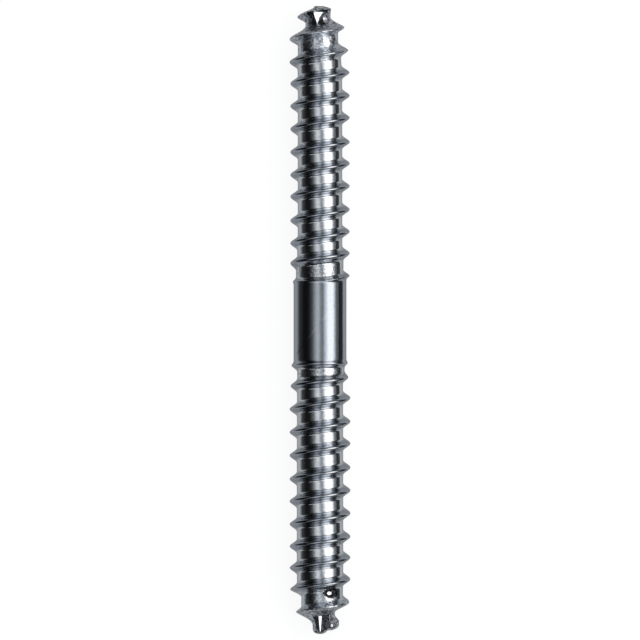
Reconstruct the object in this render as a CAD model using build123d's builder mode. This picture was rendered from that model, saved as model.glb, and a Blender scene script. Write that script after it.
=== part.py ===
from build123d import *
from math import atan, degrees, hypot
import os

# A dowel screw: one steel rod with a coarse right-hand wood thread on each
# end, a plain shank between them and a blunt, notched point on each tip.
# It is modelled upright, with its axis on Z and its front towards -Y. The
# lower end is modelled like the upper one and turned over about X. At the end
# the screw is laid down on its crests, with its axis along Y and its front up.

# Driving dimensions, in millimetres. Heights are from the middle of the screw.
overall_length = 101.6
shank_radius = 4.28

# Each end's thread lies between three windings: the sharp ridge, and the two
# edges of the groove's floor above it. A station gives one place on each of
# them, as a radius and a height: for the ridge its radius is given as a drop
# from the crest radius, and for the floor as a rise from the root radius.
# Each station is half a turn after the last one, with whole turns at the
# right side (+X) and the half turns at the left.
turns_between_stations = 0.5

# The regular groove: the height from each ridge to the floor's edge.
floor_foot = 1.04

# The groove starts and ends on a slope, a little below it: its depth there,
# and the shares of the way up the slope at which the ridge and the floor's
# two edges start, and at which the floor's two edges and the next ridge end.
groove_end_depth = 0.05
start_shares = (0.1, 0.25, 0.4)
end_shares = (0.25, 0.6, 0.88)

# Upper end. The run-out's stations rise from the collar's start, and the
# point's stations are measured down from the tip. The even thread between
# them starts at a whole turn, and the phase is the part of a turn at which
# the point takes over.
upper_pitch = 3.64
upper_crest_radius = 4.82
upper_root_radius = 3.62
upper_collar_start = 5.95
upper_first_crest = 10.82
upper_runout_turn = -1
upper_runout = [
    ((0.42, 6.20), (0.28, 7.35), (0.28, 8.15)),
    ((0.04, 7.15), (0.18, 8.10), (0.16, 9.80)),
    ((0.02, 9.03), (0.10, 10.05), (0.08, 11.55)),
]
upper_point_phase = 0.5
upper_point = [
    ((0, 9.08), (-0.12, 8.05), (-0.22, 6.45)),
    ((0.10, 7.20), (-0.32, 5.85), (-0.50, 4.40)),
    ((0.10, 5.45), (-1.46, 3.48), (-1.52, 3.05)),
    ((0.69, 3.40), (-1.27, 2.25), (-1.82, 1.40)),
]
upper_last_ridge = [(1.40, 1.80), (2.90, 0.45)]
upper_end_radius = 0.9

# Lower end, turned over.
lower_pitch = 3.669
lower_crest_radius = 4.93
lower_root_radius = 3.74
lower_collar_start = 6.55
lower_first_crest = 12.6
lower_runout_turn = -1.5
lower_runout = [
    ((0.43, 6.97), (0.28, 7.60), (0.26, 8.25)),
    ((0.33, 7.37), (-0.02, 8.50), (-0.04, 9.60)),
    ((0.33, 9.29), (0, 10.15), (0, 11.45)),
    ((0.15, 10.67), (0.02, 11.80), (0.02, 13.30)),
]
lower_point_phase = 0
lower_point = [
    ((0, 8.86), (0, 7.70), (-0.02, 6.30)),
    ((0.13, 7.10), (-0.39, 5.85), (-0.74, 4.55)),
    ((0.19, 5.18), (-1.09, 3.60), (-1.34, 2.85)),
    ((1.05, 3.50), (-1.69, 2.46), (-2.39, 1.25)),
]
lower_last_ridge = [(1.85, 1.70), (3.91, 0.42)]
lower_end_radius = 0.8

# The notch cut across the front of each tip: x and distance below the tip of
# its corners, on the inner floor and on an outer plane clear of the thread
# there. The outer plane is given as a drop from the crest radius.
upper_notch_floor_depth = 0.95
upper_notch_mouth_drop = 1.62
lower_notch_floor_depth = 0.4
lower_notch_mouth_drop = 1.73
upper_notch_floor = [(-1.21, 1.1), (-0.08, 2.35), (0.16, 2.25), (0.81, 0.89)]
upper_notch_mouth = [(-2.35, 1.05), (-2.2, 4.1), (2.0, 3.25), (1.9, 0.25)]
lower_notch_floor = [(-0.21, 2.85), (0, 0.5), (0.1, 0.5), (0.27, 2.9)]
lower_notch_mouth = [(-2.6, 2.75), (-1.2, 0.2), (3.3, 0.2), (3.3, 3.65)]

half_length = overall_length / 2


def along(start, end, share):
    """The place at a share of the way along a straight line."""
    return (start[0] + share * (end[0] - start[0]), start[1] + share * (end[1] - start[1]))


def sunk(place):
    """A place moved in towards the axis by the depth at which the groove ends."""
    return (place[0] - groove_end_depth, place[1])


def on_ridge(crest_radius, place):
    """A place on the ridge, from its drop below the crest radius and its height."""
    return (crest_radius - place[0], place[1])


def station_places(crest_radius, root_radius, station):
    """A station's places on the ridge and on the floor's two edges."""
    ridge, floor_low, floor_high = station
    return (
        on_ridge(crest_radius, ridge),
        (root_radius + floor_low[0], floor_low[1]),
        (root_radius + floor_high[0], floor_high[1]),
    )


def below_tip(place):
    """A place measured down from the tip, as a radius and a height."""
    return (place[0], half_length - place[1])


def winding(first_turn, start, end):
    """Half a turn of a conical helix from one place to the next."""
    rise = end[1] - start[1]
    slope = (end[0] - start[0]) / rise
    slant_pitch = hypot(rise, end[0] - start[0]) / turns_between_stations
    with BuildLine() as line:
        Helix(
            pitch=slant_pitch,
            height=rise,
            radius=start[0],
            center=(0, 0, start[1]),
            cone_angle=degrees(atan(slope)),
        )
    return line.edge().rotate(Axis.Z, 360 * first_turn)


def windings(first_turn, places):
    """Half-turn helices through a row of places, the first one at a given turn."""
    return [
        winding(first_turn + turns_between_stations * i, start, end)
        for i, (start, end) in enumerate(zip(places, places[1:]))
    ]


def half_circles(first_turn, radius, height):
    """A circle in two halves, which start and end where the windings do."""
    halves = []
    for i in range(2):
        start_angle = 360 * (first_turn + turns_between_stations * i)
        with BuildLine() as line:
            CenterArc((0, 0, height), radius, start_angle, 180)
        halves.append(line.edge())
    return halves


def ruled_faces(lower_edges, upper_edges):
    """A straight-sided face from each edge to the one above it."""
    return [
        Face.make_surface_from_curves(low, high) for low, high in zip(lower_edges, upper_edges)
    ]


def radial_face(turn, places):
    """A flat face in the half plane through the axis at a turn."""
    corners = [Vector(radius, 0, height).rotate(Axis.Z, 360 * turn) for radius, height in places]
    return Face(Wire.make_polygon(corners, close=True))


def regular_stations(first_crest, last_crest, pitch, phase, crest_radius, root_radius):
    """The stations of the even thread, as many turns as fit best and end at the phase."""
    turns = round((last_crest - first_crest) / pitch - phase) + phase
    half_turns = round(turns / turns_between_stations)
    half_rise = (last_crest - first_crest) / half_turns
    stations = []
    for i in range(half_turns):
        crest_height = first_crest + half_rise * i
        next_crest_height = crest_height + half_rise / turns_between_stations
        stations.append(
            (
                (crest_radius, crest_height),
                (root_radius, crest_height + floor_foot),
                (root_radius, next_crest_height - floor_foot),
            )
        )
    return stations


def screw_end(
    collar_start,
    first_crest,
    pitch,
    crest_radius,
    root_radius,
    runout_turn,
    runout,
    point_phase,
    point,
    last_ridge,
    end_radius,
    notch,
):
    """One threaded end above the plain shank, its tip upwards."""
    collar = (shank_radius, collar_start)
    end_place = (end_radius, half_length)

    rising = [station_places(crest_radius, root_radius, station) for station in runout]
    tip = [
        tuple(below_tip(place) for place in station_places(crest_radius, root_radius, station))
        for station in point
    ]
    last_crest = tip[0][0][1]
    regular = regular_stations(
        first_crest, last_crest, pitch, point_phase, crest_radius, root_radius
    )
    stations = rising + regular + tip
    ridge = [station[0] for station in stations]
    ridge += [below_tip(on_ridge(crest_radius, place)) for place in last_ridge]

    # The groove starts shallow on the slope from the collar to the ridge one
    # turn on, and ends shallow on the slope from the ridge one turn back to
    # the tip.
    start_slope = [sunk(along(collar, ridge[1], share)) for share in start_shares]
    end_slope = [sunk(along(ridge[-2], end_place, share)) for share in end_shares]
    ridge = [start_slope[0]] + ridge + [end_slope[2]]
    floor_low = [start_slope[1]] + [station[1] for station in stations] + [end_slope[0]]
    floor_high = [start_slope[2]] + [station[2] for station in stations] + [end_slope[1]]

    last_turn = runout_turn + turns_between_stations * (len(floor_low) - 1)
    ridge_edges = windings(runout_turn, ridge)
    low_edges = windings(runout_turn, floor_low)
    high_edges = windings(runout_turn, floor_high)
    collar_edges = half_circles(runout_turn, shank_radius, collar_start)
    end_edges = half_circles(last_turn, end_radius, half_length)

    faces = ruled_faces(collar_edges, ridge_edges)
    faces += ruled_faces(ridge_edges, low_edges)
    faces += ruled_faces(low_edges, high_edges)
    faces += ruled_faces(high_edges, ridge_edges[2:])
    faces += ruled_faces(ridge_edges[-2:], end_edges)
    faces.append(
        radial_face(runout_turn, [collar, ridge[0], floor_low[0], floor_high[0], ridge[2]])
    )
    faces.append(
        radial_face(last_turn, [ridge[-3], floor_low[-1], floor_high[-1], ridge[-1], end_place])
    )
    faces.append(Face(Wire(collar_edges)))
    faces.append(Face(Wire(end_edges)))

    with BuildPart() as end:
        add(Solid(Shell(faces)))
        add(notch, mode=Mode.SUBTRACT)
    return end.part


def notch_cutter(floor, mouth, floor_depth, mouth_depth):
    """A tapered wedge that opens towards -Y, its corners measured down from the tip."""
    with BuildPart() as cutter:
        with BuildSketch(Plane.XZ.offset(floor_depth)):
            with BuildLine():
                Polyline([(x, half_length - down) for x, down in floor], close=True)
            make_face()
        with BuildSketch(Plane.XZ.offset(mouth_depth)):
            with BuildLine():
                Polyline([(x, half_length - down) for x, down in mouth], close=True)
            make_face()
        loft(ruled=True)
    return cutter.part


upper_notch = notch_cutter(
    upper_notch_floor,
    upper_notch_mouth,
    upper_notch_floor_depth,
    upper_crest_radius - upper_notch_mouth_drop,
)
lower_notch = notch_cutter(
    lower_notch_floor,
    lower_notch_mouth,
    lower_notch_floor_depth,
    lower_crest_radius - lower_notch_mouth_drop,
).mirror(Plane.XZ)

upper_end = screw_end(
    collar_start=upper_collar_start,
    first_crest=upper_first_crest,
    pitch=upper_pitch,
    crest_radius=upper_crest_radius,
    root_radius=upper_root_radius,
    runout_turn=upper_runout_turn,
    runout=upper_runout,
    point_phase=upper_point_phase,
    point=upper_point,
    last_ridge=upper_last_ridge,
    end_radius=upper_end_radius,
    notch=upper_notch,
)
lower_end = screw_end(
    collar_start=lower_collar_start,
    first_crest=lower_first_crest,
    pitch=lower_pitch,
    crest_radius=lower_crest_radius,
    root_radius=lower_root_radius,
    runout_turn=lower_runout_turn,
    runout=lower_runout,
    point_phase=lower_point_phase,
    point=lower_point,
    last_ridge=lower_last_ridge,
    end_radius=lower_end_radius,
    notch=lower_notch,
)

with BuildPart() as upright:
    with BuildSketch(Plane.XY.offset(-lower_collar_start)):
        Circle(shank_radius)
    extrude(amount=lower_collar_start + upper_collar_start)
    add(upper_end)
    add(lower_end.rotate(Axis.X, 180))

rest_radius = max(upper_crest_radius, lower_crest_radius)

with BuildPart() as dowel_screw:
    add(upright.part.rotate(Axis.X, -90).translate((0, 0, rest_radius)))

dowel_screw.part.label = "dowel_screw"
os.makedirs("parts", exist_ok=True)
export_step(dowel_screw.part, "parts/dowel_screw.step")
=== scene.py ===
import math

import bmesh
import bpy
import numpy as np
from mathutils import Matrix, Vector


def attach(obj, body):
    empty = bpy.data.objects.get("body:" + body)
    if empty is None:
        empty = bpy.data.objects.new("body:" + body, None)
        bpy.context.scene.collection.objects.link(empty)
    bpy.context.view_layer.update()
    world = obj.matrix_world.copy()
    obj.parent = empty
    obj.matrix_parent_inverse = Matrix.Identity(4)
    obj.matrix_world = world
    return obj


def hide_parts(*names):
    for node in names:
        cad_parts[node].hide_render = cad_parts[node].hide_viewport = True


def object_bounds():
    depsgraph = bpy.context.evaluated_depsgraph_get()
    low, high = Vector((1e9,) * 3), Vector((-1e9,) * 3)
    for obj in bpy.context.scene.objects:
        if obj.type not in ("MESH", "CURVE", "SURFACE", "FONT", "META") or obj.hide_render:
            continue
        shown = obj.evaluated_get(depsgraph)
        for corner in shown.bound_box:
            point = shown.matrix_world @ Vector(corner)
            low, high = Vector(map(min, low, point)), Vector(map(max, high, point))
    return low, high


# A dowel screw lying on a pale floor, seen from above. Its skin is one mesh,
# wound as a helical grid from the lower tip to the upper one, so that rows of
# vertices follow the ridges. Lengths are in millimetres until the mesh is
# made: heights along the screw are from its middle, towards its upper tip.

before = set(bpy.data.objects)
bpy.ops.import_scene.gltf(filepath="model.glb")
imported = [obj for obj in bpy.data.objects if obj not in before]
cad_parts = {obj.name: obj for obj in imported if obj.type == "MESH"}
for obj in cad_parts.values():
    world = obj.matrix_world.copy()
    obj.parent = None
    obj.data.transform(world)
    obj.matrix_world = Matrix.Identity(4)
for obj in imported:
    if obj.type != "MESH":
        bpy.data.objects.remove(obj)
cad_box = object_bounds()
MM = 0.001
AXIS_HEIGHT = (cad_box[1].z - cad_box[0].z) / 2 / MM
HALF_LENGTH = 50.8
LARGEST_RADIUS = 4.925

# The grid's rows share out the height from each ridge to the one above it, and
# crowd together at the ridges.
ROWS_PER_TURN = 32
COLUMNS = 100
RIDGE_CROWDING = 0.45

# Points of the grid that lie nearer together than this, in metres, are one.
JOIN_DISTANCE = 1e-7

# Stations along the ridge, whose turns are counted from the lower end, whole
# ones at the right side: turn, height, ridge radius, radius of the groove on
# the ridge's upper side, then reach and sharpness of its lower and upper flank.
HEIGHT, RIDGE, GROOVE, LOWER_REACH, LOWER_SHARPNESS, UPPER_REACH, UPPER_SHARPNESS = range(1, 8)
RIDGE_STATIONS = [
    (-2.85, -50.80, 0.95, 0.95, 0.60, 1.6, 0.60, 1.6),
    (-2.75, -50.55, 1.00, 0.98, 0.60, 1.6, 0.60, 1.6),
    (-2.50, -50.10, 1.10, 1.15, 0.60, 1.6, 0.60, 1.6),
    (-2.25, -49.40, 2.00, 1.80, 0.70, 1.8, 0.65, 2.0),
    (-2.00, -48.85, 3.06, 2.40, 1.46, 5.0, 0.65, 2.0),
    (-1.50, -47.30, 3.88, 3.02, 0.97, 1.2, 0.57, 2.0),
    (-1.00, -45.62, 4.74, 3.72, 1.02, 2.0, 0.68, 2.0),
    (-0.50, -43.70, 4.82, 3.74, 0.65, 1.6, 0.71, 2.0),
    (0.00, -41.95, 4.90, 3.76, 0.71, 2.0, 0.71, 2.0),
    (8.00, -12.60, 4.92, 3.72, 0.71, 2.0, 0.71, 2.0),
    (8.50, -10.67, 4.76, 3.70, 0.71, 2.0, 0.70, 1.9),
    (9.00, -9.27, 4.58, 3.98, 0.60, 1.9, 0.62, 1.9),
    (9.50, -7.37, 4.62, 4.24, 0.60, 1.8, 0.45, 1.8),
    (10.00, -6.97, 4.50, 4.28, 0.42, 1.7, 0.40, 1.7),
    (10.50, -6.75, 4.28, 4.28, 0.40, 1.7, 0.40, 1.7),
    (11.00, 6.20, 4.28, 4.28, 0.40, 1.7, 0.40, 1.7),
    (11.50, 6.18, 4.40, 3.90, 0.30, 1.6, 0.45, 1.8),
    (11.75, 6.25, 4.42, 3.83, 0.25, 1.6, 0.45, 1.8),
    (12.00, 7.15, 4.78, 3.80, 0.35, 1.6, 0.55, 1.9),
    (12.50, 9.06, 4.80, 3.70, 0.71, 2.0, 0.71, 2.0),
    (13.00, 10.82, 4.80, 3.62, 0.71, 2.0, 0.71, 2.0),
    (21.00, 39.93, 4.80, 3.58, 0.71, 2.0, 0.71, 2.0),
    (21.50, 41.72, 4.80, 3.40, 0.71, 2.0, 0.71, 2.0),
    (22.00, 43.60, 4.75, 3.12, 0.70, 1.9, 0.74, 1.8),
    (22.50, 45.40, 4.74, 2.16, 0.62, 2.0, 1.21, 1.8),
    (23.00, 47.40, 4.13, 1.86, 0.58, 2.2, 0.86, 1.5),
    (23.50, 49.02, 3.45, 0.30, 0.50, 1.5, 1.18, 1.9),
    (24.00, 50.35, 1.93, 0.30, 0.60, 1.5, 0.40, 2.0),
    (24.45, 50.75, 0.80, 0.30, 0.60, 1.5, 0.40, 2.0),
    (24.55, 50.80, 0.60, 0.30, 0.60, 1.5, 0.40, 2.0),
]

# Where a ridge's bell-shaped flank is down to this share, it ends on the floor.
FOOT_SHARE = 0.08

# How far the rolled ridge strays along the screw, at every half turn.
LOWER_STRAY_FROM = -0.5
LOWER_STRAY = [
    0.09, 0.02, 0.1, 0, 0.04, -0.17, 0.03, 0.01, 0.12, 0.06, 0.04, 0.08, 0.15, 0.23, 0.17, 0.01,
    0.09, 0,
]
UPPER_STRAY_FROM = 12.5
UPPER_STRAY = [
    0.11, -0.02, -0.18, -0.07, -0.11, -0.12, 0.15, 0.02, -0.03, 0.01, -0.01, -0.21, 0.03, 0.05,
    0.08, -0.02, 0.09, 0.12, -0.04, 0.05, 0,
]

# The upper point leans a little to the left, over a stretch of its height.
LEAN = -0.19
LEAN_FROM = 38.5
LEAN_TO = 43.5

# Ends of the rod: radius at which each rounded end starts, and its length.
UPPER_END_RADIUS = 1.9
UPPER_END_LENGTH = 0.30
LOWER_END_RADIUS = 1.15
LOWER_END_LENGTH = 0.62

# Notches: x, distance below the tip and depth from the axis of the corners, on
# the inner floor and on an outer plane clear of the thread, and how much painted
# shade each wall between them gets.
UPPER_NOTCH = {
    "floor": [(-1.05, 1.05, 1.19), (-0.50, 2.85, 1.10), (-0.42, 2.80, 1.08), (1.05, 0.98, 0.66)],
    "mouth": [(-3.2, 1.0, 3.2), (-2.2, 3.6, 3.2), (2.0, 3.25, 3.2), (1.9, 0.25, 3.2)],
    "painted_wall_shade": [1.0, 0.35, 1.0, 0.5],
}
LOWER_NOTCH = {
    "floor": [(-0.21, 2.85, 0.50), (0, 0.5, 0.42), (0.1, 0.5, 0.38), (0.27, 2.9, 0.30)],
    "mouth": [(-2.6, 2.75, 3.2), (-1.2, 0.2, 3.2), (3.3, 0.2, 3.2), (3.3, 3.65, 3.2)],
    "painted_wall_shade": [0.9, 0.5, 0.0, 1.0],
}

# How each face is marked, from a clean floor to full painted shade.
CLEAN_FLOOR = -1.0
PLAIN = 0.0

# A pit in the lower root: turn, height, half sizes along the arc and the height,
# depth, the share of its size that is flat floor, and where the painted shade on
# its wall and round its rim ends, as a multiple of its size.
PIT_TURN = 0.829
PIT_HEIGHT = -44.17
PIT_ARC = 0.92
PIT_RISE = 0.62
PIT_DEPTH = 0.45
PIT_FLOOR = 0.5
PIT_SHADE_RIM = 1.4

# Edges sharper than this angle, in degrees, stay crisp.
CRISP_ANGLE = 35

# Colours of the plated steel, and of the painted shade in its notches and pit.
ROOT_COLOUR = (0.78, 0.80, 0.83, 1)
RAISED_COLOUR = (0.47, 0.50, 0.545, 1)
FROSTED_COLOUR = (0.82, 0.86, 0.92, 1)
STAIN_COLOUR = (0.10, 0.103, 0.11, 1)
PAINTED_SHADE_COLOUR = (0.035, 0.037, 0.042, 1)
FROSTED_SHARE = 0.9
STAIN_SHARE = 0.88

# How raised the skin counts as, by its radius as a share of the largest.
RAISED_BY_RADIUS = [(0.0, 0.0), (0.79, 0.0), (0.84, 1.0), (1.0, 1.0)]

# How worn and how frosted the skin is, by places along the screw from its lower
# to its upper tip, in shares of its length.
WORN = [
    (0.0, 1.0),
    (0.03, 0.9),
    (0.06, 0.3),
    (0.11, 0.12),
    (0.40, 0.12),
    (0.42, 0.5),
    (0.43, 0.05),
    (0.56, 0.05),
    (0.565, 0.4),
    (0.585, 0.4),
    (0.60, 0.12),
    (0.90, 0.12),
    (0.93, 0.6),
    (0.96, 0.7),
    (0.98, 1.0),
]
FROSTED = [(0.0, 1.0), (0.045, 1.0), (0.056, 0.5), (0.075, 0.0), (0.915, 0.0), (0.935, 1.0)]

# Grains as counts per metre along x, y and z: stains, turning lines, waves in
# the plate and pits. Stains show where their noise passes these levels. The
# noises have this much detail.
STAIN_GRAIN = (2000, 2600, 2000)
LINE_GRAIN = (300, 5000, 300)
WAVE_GRAIN = (500, 350, 500)
PIT_GRAIN = (2200, 2600, 2200)
STAIN_LEVELS = [(0.49, 0.0), (0.56, 1.0)]
FINE_DETAIL = 3.0
WAVE_DETAIL = 2.0

# Heights of the lines, waves and pits, in metres, and how strongly the first
# two show.
LINE_HEIGHT = 0.00002
LINE_STRENGTH = 0.25
WAVE_HEIGHT = 0.00006
WAVE_STRENGTH = 0.35
PIT_GRAIN_HEIGHT = 0.00012

# Roughness of the bright plate, and what frosting and mottling add to it.
BRIGHT_ROUGHNESS = 0.11
FROSTED_ROUGHNESS = 0.10
MOTTLED_ROUGHNESS = 0.08

# The studio's colour and strength, and its brightest screen, which is warmer
# than the rest.
STUDIO_TINT = (0.93, 0.965, 1.0)
STUDIO_STRENGTH = 1.2
WHITE_SCREEN = (1.75, 1.65, 1.53)

# Screens round the screw's axis: degrees from straight up towards the right,
# and brightness or colour.
SCREENS = [
    (-180, 0.50),
    (-110, 0.06),
    (-90, 0.03),
    (-74, 0.008),
    (-58, 0.008),
    (-49, 0.016),
    (-40, 0.06),
    (-32, 0.14),
    (-24, 0.37),
    (-15, 0.62),
    (-7, 0.68),
    (2, 0.37),
    (10, 0.24),
    (16, 0.42),
    (22, 0.82),
    (29, 1.15),
    (36, WHITE_SCREEN),
    (58, WHITE_SCREEN),
    (66, 0.9),
    (75, 0.22),
    (88, 0.13),
    (98, 0.035),
    (115, 0.02),
    (180, 0.50),
]

# How bright the screens stay along the screw, from its lower side at 0 to its
# upper side at 1.
SCREEN_REACH = [
    (0.0, 0.03),
    (0.08, 0.06),
    (0.14, 0.3),
    (0.2, 0.9),
    (0.25, 1.0),
    (0.75, 1.0),
    (0.85, 0.8),
    (0.925, 0.3),
    (1.0, 0.08),
]

# One more panel off the lower side, along the screw and in degrees round it.
PANEL = [(0.0, 0.0), (0.11, 0.0), (0.13, 0.45), (0.20, 0.45), (0.23, 0.0), (1.0, 0.0)]
PANEL_ROUND = [(-62, 0.0), (-50, 1.0), (60, 1.0), (72, 0.0)]

# The floor, and a strip of painted glow on it that only the metal sees, darker next
# to the screw as painted shade: half the strip's width, in metres, and its glow across that width.
FLOOR_HALF_SIZE = 3.0
FLOOR_COLOUR = (0.62, 0.63, 0.65, 1)
FLOOR_WHITE_SHARE = 0.9
STRIP_HALF_WIDTH = 0.05
STRIP_PAINTED_GLOW = [
    (0.05, 0.05),
    (0.20, 0.12),
    (0.26, 0.24),
    (0.32, 0.34),
    (0.36, 0.50),
    (0.39, 0.50),
    (0.43, 0.36),
    (0.57, 0.36),
    (0.61, 0.52),
    (0.63, 0.52),
    (0.65, 0.44),
    (0.685, 0.05),
    (1.0, 0.03),
]

# The lamp, in metres, watts and degrees.
LAMP_SIZE = 1.2
LAMP_POWER = 17
LAMP_PLACE = (0.12, 0.15, 0.95)
LAMP_TILT = (-9, 7, 0)

# The camera's height above the screw's axis, half the width that it sees there,
# and how near and how far it sees, in metres.
CAMERA_HEIGHT = 1.12
HALF_FIELD = 0.05177
CLIP_NEAR = 0.01
CLIP_FAR = 10
SENSOR_WIDTH = 36.0


def along_stations(column, turn):
    """A smooth curve through one column of the stations, at each given turn."""
    stations = np.array(RIDGE_STATIONS)
    turns = stations[:, 0]
    values = stations[:, column]
    slopes = np.gradient(values, turns)
    turn = np.clip(turn, turns[0], turns[-1])
    after = np.clip(np.searchsorted(turns, turn, side="right"), 1, len(turns) - 1)
    before = after - 1
    span = turns[after] - turns[before]
    u = (turn - turns[before]) / span
    chord = (values[after] - values[before]) / span
    start = limited_slope(slopes[before], chord)
    end = limited_slope(slopes[after], chord)
    return (
        values[before] * (1 + 2 * u) * (1 - u) ** 2
        + values[after] * u**2 * (3 - 2 * u)
        + span * start * u * (1 - u) ** 2
        - span * end * u**2 * (1 - u)
    )


def limited_slope(slope, chord):
    """A slope kept between flat and three times its chord, so no curve overshoots."""
    same_way = slope * chord > 0
    return np.where(same_way, np.sign(chord) * np.minimum(abs(slope), 3 * abs(chord)), 0)


def smooth_step(low, high, value):
    """Goes smoothly from 0 at the low value to 1 at the high one."""
    u = np.clip((value - low) / (high - low), 0, 1)
    return u * u * (3 - 2 * u)


def stray(turn):
    """How far the ridge strays from its smooth curve, at each given turn."""
    total = 0
    for first, values in ((LOWER_STRAY_FROM, LOWER_STRAY), (UPPER_STRAY_FROM, UPPER_STRAY)):
        turns = first + 0.5 * np.arange(-1, len(values) + 1)
        total = total + np.interp(turn, turns, [0] + values + [0])
    return total


def ridge_height(turn):
    """Height of the ridge at each given turn."""
    return along_stations(HEIGHT, turn) + stray(turn)


def flank(distance, reach, sharpness):
    """How much of a ridge is left at a distance from its crest line, down to a crisp foot."""
    bell = np.exp(-((np.maximum(distance, 0) / reach) ** sharpness))
    return np.maximum(bell - FOOT_SHARE, 0) / (1 - FOOT_SHARE)


def ridged_radius(lower_turn, above, span):
    """Radius of the skin at a distance above the ridge, which the next one is a span above."""
    upper_turn = lower_turn + 1
    groove = along_stations(GROOVE, lower_turn)
    from_lower = (along_stations(RIDGE, lower_turn) - groove) * flank(
        above, along_stations(UPPER_REACH, lower_turn), along_stations(UPPER_SHARPNESS, lower_turn)
    )
    from_upper = (along_stations(RIDGE, upper_turn) - groove) * flank(
        span - above,
        along_stations(LOWER_REACH, upper_turn),
        along_stations(LOWER_SHARPNESS, upper_turn),
    )
    return groove + np.maximum(from_lower, from_upper)


def rounded_end(radius, height):
    """Brings the radius to zero in a dome at each end of the rod."""
    for end, end_radius, length in (
        (HALF_LENGTH, UPPER_END_RADIUS, UPPER_END_LENGTH),
        (-HALF_LENGTH, LOWER_END_RADIUS, LOWER_END_LENGTH),
    ):
        inwards = np.clip(abs(end - height) / length, 0, 1)
        dome = end_radius * np.sqrt(1 - (1 - inwards) ** 2)
        near = abs(end - height) < length
        radius = np.where(near, np.minimum(radius, dome), radius)
    return radius


def pit_distance(radius, part_turn, height):
    """Distance from the pit's middle, which is 1 where the pit starts to sink."""
    arc = 2 * math.pi * radius * (part_turn - PIT_TURN)
    return np.hypot(arc / PIT_ARC, (height - PIT_HEIGHT) / PIT_RISE)


def grid_places():
    """Part of a turn, height and radius of the thread at each row and column of the grid."""
    first = math.floor(RIDGE_STATIONS[0][0]) - 1
    last = math.ceil(RIDGE_STATIONS[-1][0]) + 1
    share = (np.arange(ROWS_PER_TURN) / ROWS_PER_TURN)[None, :, None]
    share = share - RIDGE_CROWDING * np.sin(2 * math.pi * share) / (2 * math.pi)
    part_turn = (np.arange(COLUMNS) / COLUMNS)[None, None, :]
    lower_turn = np.arange(first, last)[:, None, None] + part_turn
    span = ridge_height(lower_turn + 1) - ridge_height(lower_turn)
    above = share * span
    height = ridge_height(lower_turn) + above
    radius = ridged_radius(lower_turn, above, span)
    part_turn = np.broadcast_to(part_turn, height.shape)
    return [grid.reshape(-1, COLUMNS) for grid in (part_turn, height, radius)]


def skin_points(part_turn, height, radius, from_pit):
    """The skin's points, with the rounded ends, the pit and the upper point's lean."""
    radius = rounded_end(radius, height) - PIT_DEPTH * (1 - smooth_step(PIT_FLOOR, 1, from_pit))
    radius = np.minimum(radius, LARGEST_RADIUS)
    angle = 2 * math.pi * part_turn
    across = radius * np.cos(angle) + LEAN * smooth_step(LEAN_FROM, LEAN_TO, height)
    across = np.clip(across, -LARGEST_RADIUS, LARGEST_RADIUS)
    up = AXIS_HEIGHT - radius * np.sin(angle)
    return np.stack([across, height, up], axis=-1).reshape(-1, 3) * MM


def grid_faces(rows):
    """Corners of each face. Past its last column, a row goes on one turn further up."""
    faces = []
    for row in range(rows - 1):
        for column in range(COLUMNS):
            corner = row * COLUMNS + column
            beside = corner + 1
            if column == COLUMNS - 1:
                beside = (row + ROWS_PER_TURN) * COLUMNS
            if beside + COLUMNS < rows * COLUMNS:
                faces.append((corner, corner + COLUMNS, beside + COLUMNS, beside))
    return faces


def mark_painted_shade(mesh, values):
    """Marks each face with how much painted shade it gets; a clean floor is marked below zero."""
    layer = mesh.attributes.new("painted_shade_mark", "FLOAT", "FACE")
    layer.data.foreach_set("value", values)


def join_skin(mesh):
    """Closes the skin where turns meet, and drops what has no size at its ends."""
    work = bmesh.new()
    work.from_mesh(mesh)
    bmesh.ops.remove_doubles(work, verts=work.verts, dist=JOIN_DISTANCE)
    bmesh.ops.dissolve_degenerate(work, edges=work.edges, dist=JOIN_DISTANCE)
    loose = [v for v in work.verts if not v.link_faces]
    bmesh.ops.delete(work, geom=loose, context="VERTS")
    bmesh.ops.recalc_face_normals(work, faces=work.faces)
    for face in work.faces:
        face.smooth = True
    work.to_mesh(mesh)
    work.free()


def wound_mesh(name):
    """The skin as a closed mesh on the helical grid."""
    part_turn, height, radius = grid_places()
    from_pit = pit_distance(radius, part_turn, height)
    points = skin_points(part_turn, height, radius, from_pit)
    faces = grid_faces(len(height))
    # The pit's wall and a ring round it get painted shade.
    pit_painted_shade = ((from_pit > PIT_FLOOR) & (from_pit < PIT_SHADE_RIM)).reshape(-1)
    mesh = bpy.data.meshes.new(name)
    mesh.from_pydata(points.tolist(), [], faces)
    mark_painted_shade(mesh, [float(pit_painted_shade[face[0]]) for face in faces])
    join_skin(mesh)
    return mesh


def notch_wedge(name, notch, tip):
    """The tapered wedge that is cut out of the front of one tip."""
    points = []
    for x, below, depth in notch["floor"] + notch["mouth"]:
        height = tip * (HALF_LENGTH - below)
        points.append((x * MM, height * MM, (AXIS_HEIGHT + depth) * MM))
    faces = [(0, 1, 2, 3), (4, 5, 6, 7)]
    faces += [(i, (i + 1) % 4, (i + 1) % 4 + 4, i + 4) for i in range(4)]
    mesh = bpy.data.meshes.new(name)
    mesh.from_pydata(points, [], faces)
    # The notch's floor is marked clean, and its walls get painted shade.
    mark_painted_shade(mesh, [CLEAN_FLOOR, PLAIN] + notch["painted_wall_shade"])
    work = bmesh.new()
    work.from_mesh(mesh)
    bmesh.ops.recalc_face_normals(work, faces=work.faces)
    work.to_mesh(mesh)
    work.free()
    wedge = bpy.data.objects.new(name, mesh)
    bpy.context.scene.collection.objects.link(wedge)
    return wedge


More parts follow.
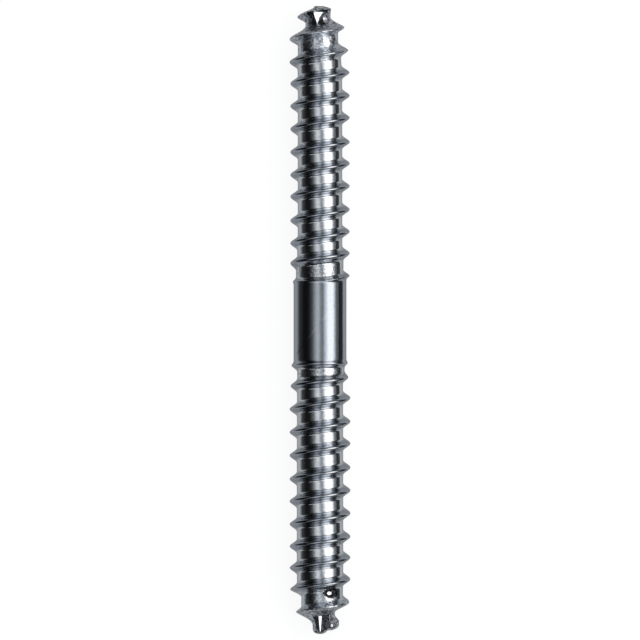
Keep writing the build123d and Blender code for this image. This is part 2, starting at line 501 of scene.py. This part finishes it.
def cut(piece, wedge):
    """Takes a wedge out of the piece for good and drops the wedge."""
    step = piece.modifiers.new("notch", "BOOLEAN")
    step.operation = "DIFFERENCE"
    step.solver = "EXACT"
    step.object = wedge
    bpy.context.view_layer.objects.active = piece
    bpy.ops.object.modifier_apply(modifier=step.name)
    bpy.data.objects.remove(wedge)


def add_node(tree, kind, **values):
    """A new node with some of its settings."""
    node = tree.nodes.new(kind)
    for key, value in values.items():
        setattr(node, key, value)
    return node


def put(tree, socket, value):
    """Sets a socket to a number or colour, or links an output to it."""
    if isinstance(value, (int, float, tuple)):
        socket.default_value = value
    else:
        tree.links.new(value, socket)


def split_xyz(tree, vector):
    """The x, y and z outputs of a vector."""
    node = add_node(tree, "ShaderNodeSeparateXYZ")
    put(tree, node.inputs[0], vector)
    return node.outputs[0], node.outputs[1], node.outputs[2]


def math_node(tree, operation, *values):
    """The result of one sum on numbers or outputs."""
    node = add_node(tree, "ShaderNodeMath", operation=operation)
    for socket, value in zip(node.inputs, values):
        put(tree, socket, value)
    return node.outputs[0]


def mixed_colour(tree, share, first, second):
    """The first colour, with a share of the second one."""
    node = add_node(tree, "ShaderNodeMix", data_type="RGBA")
    put(tree, node.inputs[0], share)
    put(tree, node.inputs[6], first)
    put(tree, node.inputs[7], second)
    return node.outputs[2]


def ramp(tree, source, stops):
    """A colour ramp through stops, each a place and a grey level or a colour."""
    node = add_node(tree, "ShaderNodeValToRGB")
    elements = node.color_ramp.elements
    while len(elements) < len(stops):
        elements.new(0.5)
    for element, (place, level) in zip(elements, stops):
        element.position = place
        element.color = (*level, 1) if isinstance(level, tuple) else (level, level, level, 1)
    put(tree, node.inputs["Fac"], source)
    return node.outputs["Color"]


def mapped_noise(tree, place, grain, detail):
    """A noise whose grain is given as counts per metre along x, y and z."""
    mapping = add_node(tree, "ShaderNodeMapping")
    put(tree, mapping.inputs["Scale"], grain)
    put(tree, mapping.inputs["Vector"], place)
    noise = add_node(tree, "ShaderNodeTexNoise")
    put(tree, noise.inputs["Scale"], 1.0)
    put(tree, noise.inputs["Detail"], detail)
    put(tree, noise.inputs["Vector"], mapping.outputs["Vector"])
    return noise.outputs["Fac"]


def bump_node(tree, height, strength, distance, below=None):
    """A bump of a height in metres, on top of the bump below it."""
    node = add_node(tree, "ShaderNodeBump")
    put(tree, node.inputs["Distance"], distance)
    put(tree, node.inputs["Height"], height)
    put(tree, node.inputs["Strength"], strength)
    if below is not None:
        put(tree, node.inputs["Normal"], below)
    return node.outputs["Normal"]


def radius_share(tree, x, z):
    """Distance from the screw's axis, as a share of the largest radius."""
    lifted = math_node(tree, "SUBTRACT", z, AXIS_HEIGHT * MM)
    across = math_node(tree, "MULTIPLY", x, x)
    upwards = math_node(tree, "MULTIPLY", lifted, lifted)
    radius = math_node(tree, "SQRT", math_node(tree, "ADD", across, upwards))
    return math_node(tree, "DIVIDE", radius, LARGEST_RADIUS * MM)


def zinc_colour(tree, place, raised, frosted, mottled, painted_shade_mark):
    """Bright roots, duller crests and flanks, paler tips, then stains and painted shade in the
    notches and the pit.
    """
    colour = mixed_colour(tree, raised, ROOT_COLOUR, RAISED_COLOUR)
    frosted = math_node(tree, "MULTIPLY", frosted, FROSTED_SHARE)
    colour = mixed_colour(tree, frosted, colour, FROSTED_COLOUR)
    blotches = mapped_noise(tree, place, STAIN_GRAIN, FINE_DETAIL)
    stains = ramp(tree, blotches, STAIN_LEVELS)
    stained = math_node(tree, "MULTIPLY", stains, mottled)
    stained = math_node(tree, "MULTIPLY", stained, STAIN_SHARE)
    colour = mixed_colour(tree, stained, colour, STAIN_COLOUR)
    # Painted shade, darkest on the notches' walls and round the pit.
    return mixed_colour(tree, painted_shade_mark, colour, PAINTED_SHADE_COLOUR)


def zinc_roughness(tree, frosted, outside, mottled):
    """Bright plate, a little rougher where it is frosted or mottled."""
    matt = math_node(tree, "MULTIPLY", frosted, outside)
    matt = math_node(tree, "MULTIPLY", matt, FROSTED_ROUGHNESS)
    roughness = math_node(tree, "MULTIPLY", mottled, MOTTLED_ROUGHNESS)
    roughness = math_node(tree, "ADD", roughness, matt)
    return math_node(tree, "ADD", roughness, BRIGHT_ROUGHNESS)


def zinc_normal(tree, place, mottled):
    """Fine turning lines, slow waves in the plate, and pits where it is mottled."""
    lines = mapped_noise(tree, place, LINE_GRAIN, FINE_DETAIL)
    waves = mapped_noise(tree, place, WAVE_GRAIN, WAVE_DETAIL)
    pits = mapped_noise(tree, place, PIT_GRAIN, FINE_DETAIL)
    normal = bump_node(tree, lines, LINE_STRENGTH, LINE_HEIGHT)
    normal = bump_node(tree, waves, WAVE_STRENGTH, WAVE_HEIGHT, normal)
    return bump_node(tree, pits, mottled, PIT_GRAIN_HEIGHT, normal)


def zinc_material():
    """Bright zinc-plated steel, duller where it stands out from the roots, with mottled ends."""
    material = bpy.data.materials.new("zinc_steel")
    material.use_nodes = True
    tree = material.node_tree
    place = add_node(tree, "ShaderNodeTexCoord").outputs["Object"]
    x, y, z = split_xyz(tree, place)
    along = math_node(tree, "DIVIDE", y, 2 * HALF_LENGTH * MM)
    along = math_node(tree, "ADD", along, 0.5)
    raised = ramp(tree, radius_share(tree, x, z), RAISED_BY_RADIUS)
    frosted = ramp(tree, along, FROSTED)

    # A notch's clean floor has no mottling and isn't frosted. The faces' mark also gives the
    # painted shade in the notches and the pit.
    painted_shade_mark = add_node(tree, "ShaderNodeAttribute", attribute_name="painted_shade_mark").outputs["Fac"]
    outside = math_node(tree, "MINIMUM", math_node(tree, "ADD", painted_shade_mark, 1.0), 1.0)
    mottled = math_node(tree, "MULTIPLY", ramp(tree, along, WORN), outside)

    shader = tree.nodes["Principled BSDF"]
    colour = zinc_colour(tree, place, raised, frosted, mottled, painted_shade_mark)
    put(tree, shader.inputs["Metallic"], 1.0)
    put(tree, shader.inputs["Base Color"], colour)
    put(tree, shader.inputs["Roughness"], zinc_roughness(tree, frosted, outside, mottled))
    put(tree, shader.inputs["Normal"], zinc_normal(tree, place, mottled))
    return material


def build_screw():
    """The screw's skin, with both notches cut and its plate."""
    piece = bpy.data.objects.new("screw_skin", wound_mesh("screw_skin"))
    bpy.context.scene.collection.objects.link(piece)
    cut(piece, notch_wedge("upper_wedge", UPPER_NOTCH, 1))
    cut(piece, notch_wedge("lower_wedge", LOWER_NOTCH, -1))
    piece.data.materials.clear()
    piece.data.materials.append(zinc_material())
    bpy.context.view_layer.objects.active = piece
    piece.select_set(True)
    bpy.ops.object.shade_smooth_by_angle(angle=math.radians(CRISP_ANGLE))
    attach(piece, "root")
    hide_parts("dowel_screw")


def floor_material():
    """White to the camera apart from the shadow, and to the metal a strip of painted glow, with
    painted shade next to the screw.
    """
    material = bpy.data.materials.new("floor")
    material.use_nodes = True
    tree = material.node_tree
    tree.nodes.clear()
    matt = add_node(tree, "ShaderNodeBsdfDiffuse")
    put(tree, matt.inputs["Color"], FLOOR_COLOUR)
    x, _, _ = split_xyz(tree, add_node(tree, "ShaderNodeTexCoord").outputs["Object"])
    aside = math_node(tree, "DIVIDE", x, 2 * STRIP_HALF_WIDTH)
    aside = math_node(tree, "ADD", aside, 0.5)
    # To glossy rays the floor glows in a painted strip, darker next to the screw as painted shade.
    painted_glow = add_node(tree, "ShaderNodeEmission")
    put(tree, painted_glow.inputs["Color"], (*STUDIO_TINT, 1))
    put(tree, painted_glow.inputs["Strength"], ramp(tree, aside, STRIP_PAINTED_GLOW))
    white = add_node(tree, "ShaderNodeEmission")

    path = add_node(tree, "ShaderNodeLightPath")
    to_metal = add_node(tree, "ShaderNodeMixShader")
    put(tree, to_metal.inputs["Fac"], path.outputs["Is Glossy Ray"])
    put(tree, to_metal.inputs[1], matt.outputs[0])
    put(tree, to_metal.inputs[2], painted_glow.outputs[0])
    to_camera = add_node(tree, "ShaderNodeMixShader")
    share = math_node(tree, "MULTIPLY", path.outputs["Is Camera Ray"], FLOOR_WHITE_SHARE)
    put(tree, to_camera.inputs["Fac"], share)
    put(tree, to_camera.inputs[1], to_metal.outputs[0])
    put(tree, to_camera.inputs[2], white.outputs[0])
    out = add_node(tree, "ShaderNodeOutputMaterial")
    put(tree, out.inputs["Surface"], to_camera.outputs[0])
    return material


def build_floor():
    """A pale floor that the camera sees as white, apart from the screw's shadow."""
    size = FLOOR_HALF_SIZE
    mesh = bpy.data.meshes.new("floor")
    corners = [(-size, -size, 0), (size, -size, 0), (size, size, 0), (-size, size, 0)]
    mesh.from_pydata(corners, [], [(0, 1, 2, 3)])
    mesh.materials.append(floor_material())
    floor = bpy.data.objects.new("floor", mesh)
    bpy.context.scene.collection.objects.link(floor)


def by_degrees(stops):
    """Stops given in degrees about the screw's axis, as places on a ramp of the full circle."""
    return [((degrees + 180) / 360, level) for degrees, level in stops]


def vector_node(tree, operation, vector, second):
    """The result of a vector sum, whose second value is a vector, or a number for SCALE."""
    node = add_node(tree, "ShaderNodeVectorMath", operation=operation)
    put(tree, node.inputs[0], vector)
    put(tree, node.inputs["Scale"] if operation == "SCALE" else node.inputs[1], second)
    return node.outputs[0]


def studio_light(tree):
    """Brightness of the screens in each direction that the bright metal mirrors."""
    x, y, z = split_xyz(tree, add_node(tree, "ShaderNodeTexCoord").outputs["Generated"])
    about = math_node(tree, "ARCTAN2", x, z)
    about = math_node(tree, "MULTIPLY", about, 1 / (2 * math.pi))
    about = math_node(tree, "ADD", about, 0.5)
    sideways = math_node(tree, "MULTIPLY", y, 0.5)
    sideways = math_node(tree, "ADD", sideways, 0.5)
    screens = ramp(tree, about, by_degrees(SCREENS))
    reached = vector_node(tree, "SCALE", screens, ramp(tree, sideways, SCREEN_REACH))
    window = ramp(tree, about, by_degrees(PANEL_ROUND))
    panel = math_node(tree, "MULTIPLY", ramp(tree, sideways, PANEL), window)
    light = vector_node(tree, "ADD", reached, panel)
    return vector_node(tree, "MULTIPLY", light, STUDIO_TINT)


def build_world():
    """A studio of dark and light screens, which the camera sees as white."""
    world = bpy.data.worlds.new("studio")
    bpy.context.scene.world = world
    world.use_nodes = True
    tree = world.node_tree
    tree.nodes.clear()
    studio = add_node(tree, "ShaderNodeBackground")
    put(tree, studio.inputs["Strength"], STUDIO_STRENGTH)
    put(tree, studio.inputs["Color"], studio_light(tree))
    white = add_node(tree, "ShaderNodeBackground")
    put(tree, white.inputs["Color"], (1, 1, 1, 1))
    seen = add_node(tree, "ShaderNodeLightPath").outputs["Is Camera Ray"]
    mix = add_node(tree, "ShaderNodeMixShader")
    put(tree, mix.inputs["Fac"], seen)
    put(tree, mix.inputs[1], studio.outputs[0])
    put(tree, mix.inputs[2], white.outputs[0])
    out = add_node(tree, "ShaderNodeOutputWorld")
    put(tree, out.inputs["Surface"], mix.outputs[0])


def build_lamp():
    """One large soft lamp for the floor and its shadow, which the metal doesn't mirror."""
    light = bpy.data.lights.new("soft_lamp", "AREA")
    light.shape = "SQUARE"
    light.size = LAMP_SIZE
    light.energy = LAMP_POWER
    lamp = bpy.data.objects.new("soft_lamp", light)
    lamp.location = LAMP_PLACE
    lamp.rotation_euler = [math.radians(angle) for angle in LAMP_TILT]
    lamp.visible_glossy = False
    lamp.visible_camera = False
    bpy.context.scene.collection.objects.link(lamp)


def build_camera():
    """A camera straight above the middle of the screw."""
    data = bpy.data.cameras.new("camera")
    data.sensor_width = SENSOR_WIDTH
    data.lens = SENSOR_WIDTH / 2 / (HALF_FIELD / CAMERA_HEIGHT)
    data.clip_start = CLIP_NEAR
    data.clip_end = CLIP_FAR
    camera = bpy.data.objects.new("camera", data)
    camera.location = (0, 0, CAMERA_HEIGHT + AXIS_HEIGHT * MM)
    bpy.context.scene.collection.objects.link(camera)
    bpy.context.scene.camera = camera


build_screw()
build_floor()
build_world()
build_lamp()
build_camera()
bpy.context.scene.view_settings.view_transform = "Standard"
